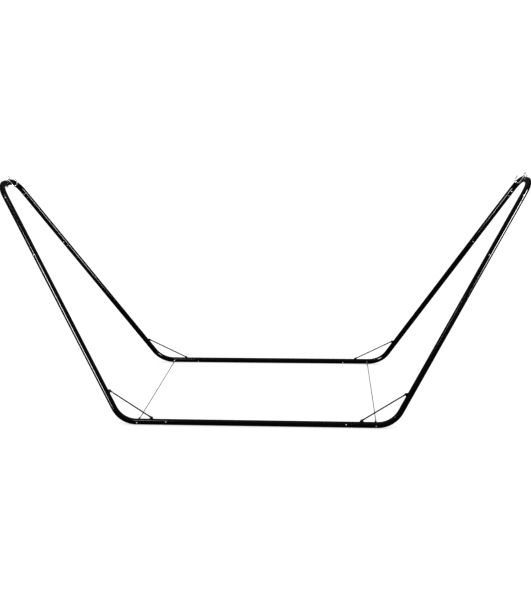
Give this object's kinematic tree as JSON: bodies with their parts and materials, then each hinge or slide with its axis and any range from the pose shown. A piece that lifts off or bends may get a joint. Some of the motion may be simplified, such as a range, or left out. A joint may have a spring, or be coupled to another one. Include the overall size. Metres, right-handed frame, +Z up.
{
  "type": "hammock stand",
  "caption": "Freestanding plug-together steel tube hammock stand with leaning side frames, corner braces, cross cables and a swinging hook at each end.",
  "frame": {"origin": "on the ground, under the middle of the stand", "axes": "+X along the stand towards its right end, +Y from the front side frame to the rear one, +Z up"},
  "size_m": [3.048, 1.193, 1.3212],
  "materials": {
    "frame_coat": "gloss black powder coat",
    "button_steel": "plain zinc-plated steel",
    "spring_steel": "oiled blue-grey spring steel",
    "black_screw": "black zinc",
    "zinc_steel": "bright zinc plate",
    "hook_steel": "bright plated steel wire",
    "cable_jacket": "galvanised wire rope",
    "ferrule_aluminium": "pressed, satin"
  },
  "bodies": {
    "frame": {"front_base_tube": "frame_coat", "rear_base_tube": "frame_coat", "front_left_corner_tube": "frame_coat", "front_left_arm_tube": "frame_coat", "front_right_corner_tube": "frame_coat", "front_right_arm_tube": "frame_coat", "rear_left_corner_tube": "frame_coat", "rear_left_arm_tube": "frame_coat", "rear_right_corner_tube": "frame_coat", "rear_right_arm_tube": "frame_coat", "left_end_bend": "frame_coat", "right_end_bend": "frame_coat", "snap_button_springs": "spring_steel", "front_left_brace_lugs": "frame_coat", "front_left_brace_rod": "frame_coat", "front_right_brace_lugs": "frame_coat", "front_right_brace_rod": "frame_coat", "rear_left_brace_lugs": "frame_coat", "rear_left_brace_rod": "frame_coat", "rear_right_brace_lugs": "frame_coat", "rear_right_brace_rod": "frame_coat", "brace_screws": "black_screw", "brace_nuts": "black_screw", "cable_eye_bolts": "zinc_steel", "cable_eye_nuts": "zinc_steel", "left_cross_cable": "cable_jacket", "right_cross_cable": "cable_jacket", "cable_ferrules": "ferrule_aluminium", "left_hook_eye_bolt": "zinc_steel", "right_hook_eye_bolt": "zinc_steel", "hook_washers": "zinc_steel", "hook_nuts": "zinc_steel"},
    "front_left_base_snap_button_outer": {"front_left_base_button_outer": "button_steel"},
    "front_left_base_snap_button_inner": {"front_left_base_button_inner": "button_steel"},
    "front_left_arm_snap_button_outer": {"front_left_arm_button_outer": "button_steel"},
    "front_left_arm_snap_button_inner": {"front_left_arm_button_inner": "button_steel"},
    "front_left_top_snap_button_outer": {"front_left_top_button_outer": "button_steel"},
    "front_left_top_snap_button_inner": {"front_left_top_button_inner": "button_steel"},
    "front_right_base_snap_button_outer": {"front_right_base_button_outer": "button_steel"},
    "front_right_base_snap_button_inner": {"front_right_base_button_inner": "button_steel"},
    "front_right_arm_snap_button_outer": {"front_right_arm_button_outer": "button_steel"},
    "front_right_arm_snap_button_inner": {"front_right_arm_button_inner": "button_steel"},
    "front_right_top_snap_button_outer": {"front_right_top_button_outer": "button_steel"},
    "front_right_top_snap_button_inner": {"front_right_top_button_inner": "button_steel"},
    "rear_left_base_snap_button_outer": {"rear_left_base_button_outer": "button_steel"},
    "rear_left_base_snap_button_inner": {"rear_left_base_button_inner": "button_steel"},
    "rear_left_arm_snap_button_outer": {"rear_left_arm_button_outer": "button_steel"},
    "rear_left_arm_snap_button_inner": {"rear_left_arm_button_inner": "button_steel"},
    "rear_left_top_snap_button_outer": {"rear_left_top_button_outer": "button_steel"},
    "rear_left_top_snap_button_inner": {"rear_left_top_button_inner": "button_steel"},
    "rear_right_base_snap_button_outer": {"rear_right_base_button_outer": "button_steel"},
    "rear_right_base_snap_button_inner": {"rear_right_base_button_inner": "button_steel"},
    "rear_right_arm_snap_button_outer": {"rear_right_arm_button_outer": "button_steel"},
    "rear_right_arm_snap_button_inner": {"rear_right_arm_button_inner": "button_steel"},
    "rear_right_top_snap_button_outer": {"rear_right_top_button_outer": "button_steel"},
    "rear_right_top_snap_button_inner": {"rear_right_top_button_inner": "button_steel"},
    "left_hook": {"left_hook": "hook_steel"},
    "right_hook": {"right_hook": "hook_steel"}
  },
  "joints": [
    {"name": "front_left_base_button_press_outer", "type": "slide", "parent": "frame", "child": "front_left_base_snap_button_outer", "axis": [0, 0.9414, -0.3373], "range_m": [0, 0.0046], "stiffness_N_per_m": 2500, "springref_m": -0.002, "deforming": ["snap_button_springs"]},
    {"name": "front_left_base_button_press_inner", "type": "slide", "parent": "frame", "child": "front_left_base_snap_button_inner", "axis": [0, -0.9414, 0.3373], "range_m": [0, 0.0046], "stiffness_N_per_m": 2500, "springref_m": -0.002, "deforming": ["snap_button_springs"]},
    {"name": "front_left_arm_button_press_outer", "type": "slide", "parent": "frame", "child": "front_left_arm_snap_button_outer", "axis": [0, 0.9414, -0.3373], "range_m": [0, 0.0046], "stiffness_N_per_m": 2500, "springref_m": -0.002, "deforming": ["snap_button_springs"]},
    {"name": "front_left_arm_button_press_inner", "type": "slide", "parent": "frame", "child": "front_left_arm_snap_button_inner", "axis": [0, -0.9414, 0.3373], "range_m": [0, 0.0046], "stiffness_N_per_m": 2500, "springref_m": -0.002, "deforming": ["snap_button_springs"]},
    {"name": "front_left_top_button_press_outer", "type": "slide", "parent": "frame", "child": "front_left_top_snap_button_outer", "axis": [0, 0.9414, -0.3373], "range_m": [0, 0.0046], "stiffness_N_per_m": 2500, "springref_m": -0.002, "deforming": ["snap_button_springs"]},
    {"name": "front_left_top_button_press_inner", "type": "slide", "parent": "frame", "child": "front_left_top_snap_button_inner", "axis": [0, -0.9414, 0.3373], "range_m": [0, 0.0046], "stiffness_N_per_m": 2500, "springref_m": -0.002, "deforming": ["snap_button_springs"]},
    {"name": "front_right_base_button_press_outer", "type": "slide", "parent": "frame", "child": "front_right_base_snap_button_outer", "axis": [0, 0.9414, -0.3373], "range_m": [0, 0.0046], "stiffness_N_per_m": 2500, "springref_m": -0.002, "deforming": ["snap_button_springs"]},
    {"name": "front_right_base_button_press_inner", "type": "slide", "parent": "frame", "child": "front_right_base_snap_button_inner", "axis": [0, -0.9414, 0.3373], "range_m": [0, 0.0046], "stiffness_N_per_m": 2500, "springref_m": -0.002, "deforming": ["snap_button_springs"]},
    {"name": "front_right_arm_button_press_outer", "type": "slide", "parent": "frame", "child": "front_right_arm_snap_button_outer", "axis": [0, 0.9414, -0.3373], "range_m": [0, 0.0046], "stiffness_N_per_m": 2500, "springref_m": -0.002, "deforming": ["snap_button_springs"]},
    {"name": "front_right_arm_button_press_inner", "type": "slide", "parent": "frame", "child": "front_right_arm_snap_button_inner", "axis": [0, -0.9414, 0.3373], "range_m": [0, 0.0046], "stiffness_N_per_m": 2500, "springref_m": -0.002, "deforming": ["snap_button_springs"]},
    {"name": "front_right_top_button_press_outer", "type": "slide", "parent": "frame", "child": "front_right_top_snap_button_outer", "axis": [0, 0.9414, -0.3373], "range_m": [0, 0.0046], "stiffness_N_per_m": 2500, "springref_m": -0.002, "deforming": ["snap_button_springs"]},
    {"name": "front_right_top_button_press_inner", "type": "slide", "parent": "frame", "child": "front_right_top_snap_button_inner", "axis": [0, -0.9414, 0.3373], "range_m": [0, 0.0046], "stiffness_N_per_m": 2500, "springref_m": -0.002, "deforming": ["snap_button_springs"]},
    {"name": "rear_left_base_button_press_outer", "type": "slide", "parent": "frame", "child": "rear_left_base_snap_button_outer", "axis": [0, -0.9414, -0.3373], "range_m": [0, 0.0046], "stiffness_N_per_m": 2500, "springref_m": -0.002, "deforming": ["snap_button_springs"]},
    {"name": "rear_left_base_button_press_inner", "type": "slide", "parent": "frame", "child": "rear_left_base_snap_button_inner", "axis": [0, 0.9414, 0.3373], "range_m": [0, 0.0046], "stiffness_N_per_m": 2500, "springref_m": -0.002, "deforming": ["snap_button_springs"]},
    {"name": "rear_left_arm_button_press_outer", "type": "slide", "parent": "frame", "child": "rear_left_arm_snap_button_outer", "axis": [0, -0.9414, -0.3373], "range_m": [0, 0.0046], "stiffness_N_per_m": 2500, "springref_m": -0.002, "deforming": ["snap_button_springs"]},
    {"name": "rear_left_arm_button_press_inner", "type": "slide", "parent": "frame", "child": "rear_left_arm_snap_button_inner", "axis": [0, 0.9414, 0.3373], "range_m": [0, 0.0046], "stiffness_N_per_m": 2500, "springref_m": -0.002, "deforming": ["snap_button_springs"]},
    {"name": "rear_left_top_button_press_outer", "type": "slide", "parent": "frame", "child": "rear_left_top_snap_button_outer", "axis": [0, -0.9414, -0.3373], "range_m": [0, 0.0046], "stiffness_N_per_m": 2500, "springref_m": -0.002, "deforming": ["snap_button_springs"]},
    {"name": "rear_left_top_button_press_inner", "type": "slide", "parent": "frame", "child": "rear_left_top_snap_button_inner", "axis": [0, 0.9414, 0.3373], "range_m": [0, 0.0046], "stiffness_N_per_m": 2500, "springref_m": -0.002, "deforming": ["snap_button_springs"]},
    {"name": "rear_right_base_button_press_outer", "type": "slide", "parent": "frame", "child": "rear_right_base_snap_button_outer", "axis": [0, -0.9414, -0.3373], "range_m": [0, 0.0046], "stiffness_N_per_m": 2500, "springref_m": -0.002, "deforming": ["snap_button_springs"]},
    {"name": "rear_right_base_button_press_inner", "type": "slide", "parent": "frame", "child": "rear_right_base_snap_button_inner", "axis": [0, 0.9414, 0.3373], "range_m": [0, 0.0046], "stiffness_N_per_m": 2500, "springref_m": -0.002, "deforming": ["snap_button_springs"]},
    {"name": "rear_right_arm_button_press_outer", "type": "slide", "parent": "frame", "child": "rear_right_arm_snap_button_outer", "axis": [0, -0.9414, -0.3373], "range_m": [0, 0.0046], "stiffness_N_per_m": 2500, "springref_m": -0.002, "deforming": ["snap_button_springs"]},
    {"name": "rear_right_arm_button_press_inner", "type": "slide", "parent": "frame", "child": "rear_right_arm_snap_button_inner", "axis": [0, 0.9414, 0.3373], "range_m": [0, 0.0046], "stiffness_N_per_m": 2500, "springref_m": -0.002, "deforming": ["snap_button_springs"]},
    {"name": "rear_right_top_button_press_outer", "type": "slide", "parent": "frame", "child": "rear_right_top_snap_button_outer", "axis": [0, -0.9414, -0.3373], "range_m": [0, 0.0046], "stiffness_N_per_m": 2500, "springref_m": -0.002, "deforming": ["snap_button_springs"]},
    {"name": "rear_right_top_button_press_inner", "type": "slide", "parent": "frame", "child": "rear_right_top_snap_button_inner", "axis": [0, 0.9414, 0.3373], "range_m": [0, 0.0046], "stiffness_N_per_m": 2500, "springref_m": -0.002, "deforming": ["snap_button_springs"]},
    {"name": "left_hook_swing", "type": "hinge", "parent": "frame", "child": "left_hook", "pos_m": [-1.5031, 0, 1.30922], "axis": [0, -1, 0], "range_deg": [0, 235]},
    {"name": "right_hook_swing", "type": "hinge", "parent": "frame", "child": "right_hook", "pos_m": [1.5031, 0, 1.30922], "axis": [0, 1, 0], "range_deg": [0, 235]}
  ]
}
